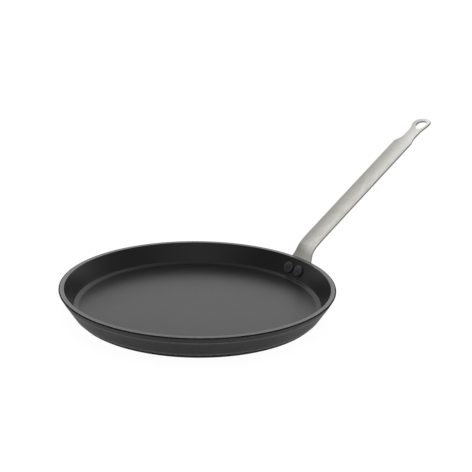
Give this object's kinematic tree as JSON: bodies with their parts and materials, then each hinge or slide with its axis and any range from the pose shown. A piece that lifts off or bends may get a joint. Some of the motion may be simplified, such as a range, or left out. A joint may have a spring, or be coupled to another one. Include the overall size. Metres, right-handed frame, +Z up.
{
  "type": "crepe pan",
  "caption": "Shallow round crepe pan with a low flared wall, black non-stick coating and a long rising steel strip handle that ends in a hanging eye.",
  "frame": {"origin": "centre of the pan's base, on the surface that it stands on", "axes": "+Z up along the pan's axis; +X from the pan's middle towards the handle; +Y to the left seen from the pan's middle towards the handle"},
  "size_m": [0.5062, 0.3, 0.1747],
  "materials": {
    "pan_coating": "satin black non-stick coating over aluminium",
    "handle_steel": "satin, bead-blasted look, warm grey",
    "rivet_metal": "satin black coating"
  },
  "bodies": {
    "root": {"pan_body": "pan_coating", "handle": "handle_steel", "rivet_left": "rivet_metal", "rivet_right": "rivet_metal"}
  },
  "joints": []
}
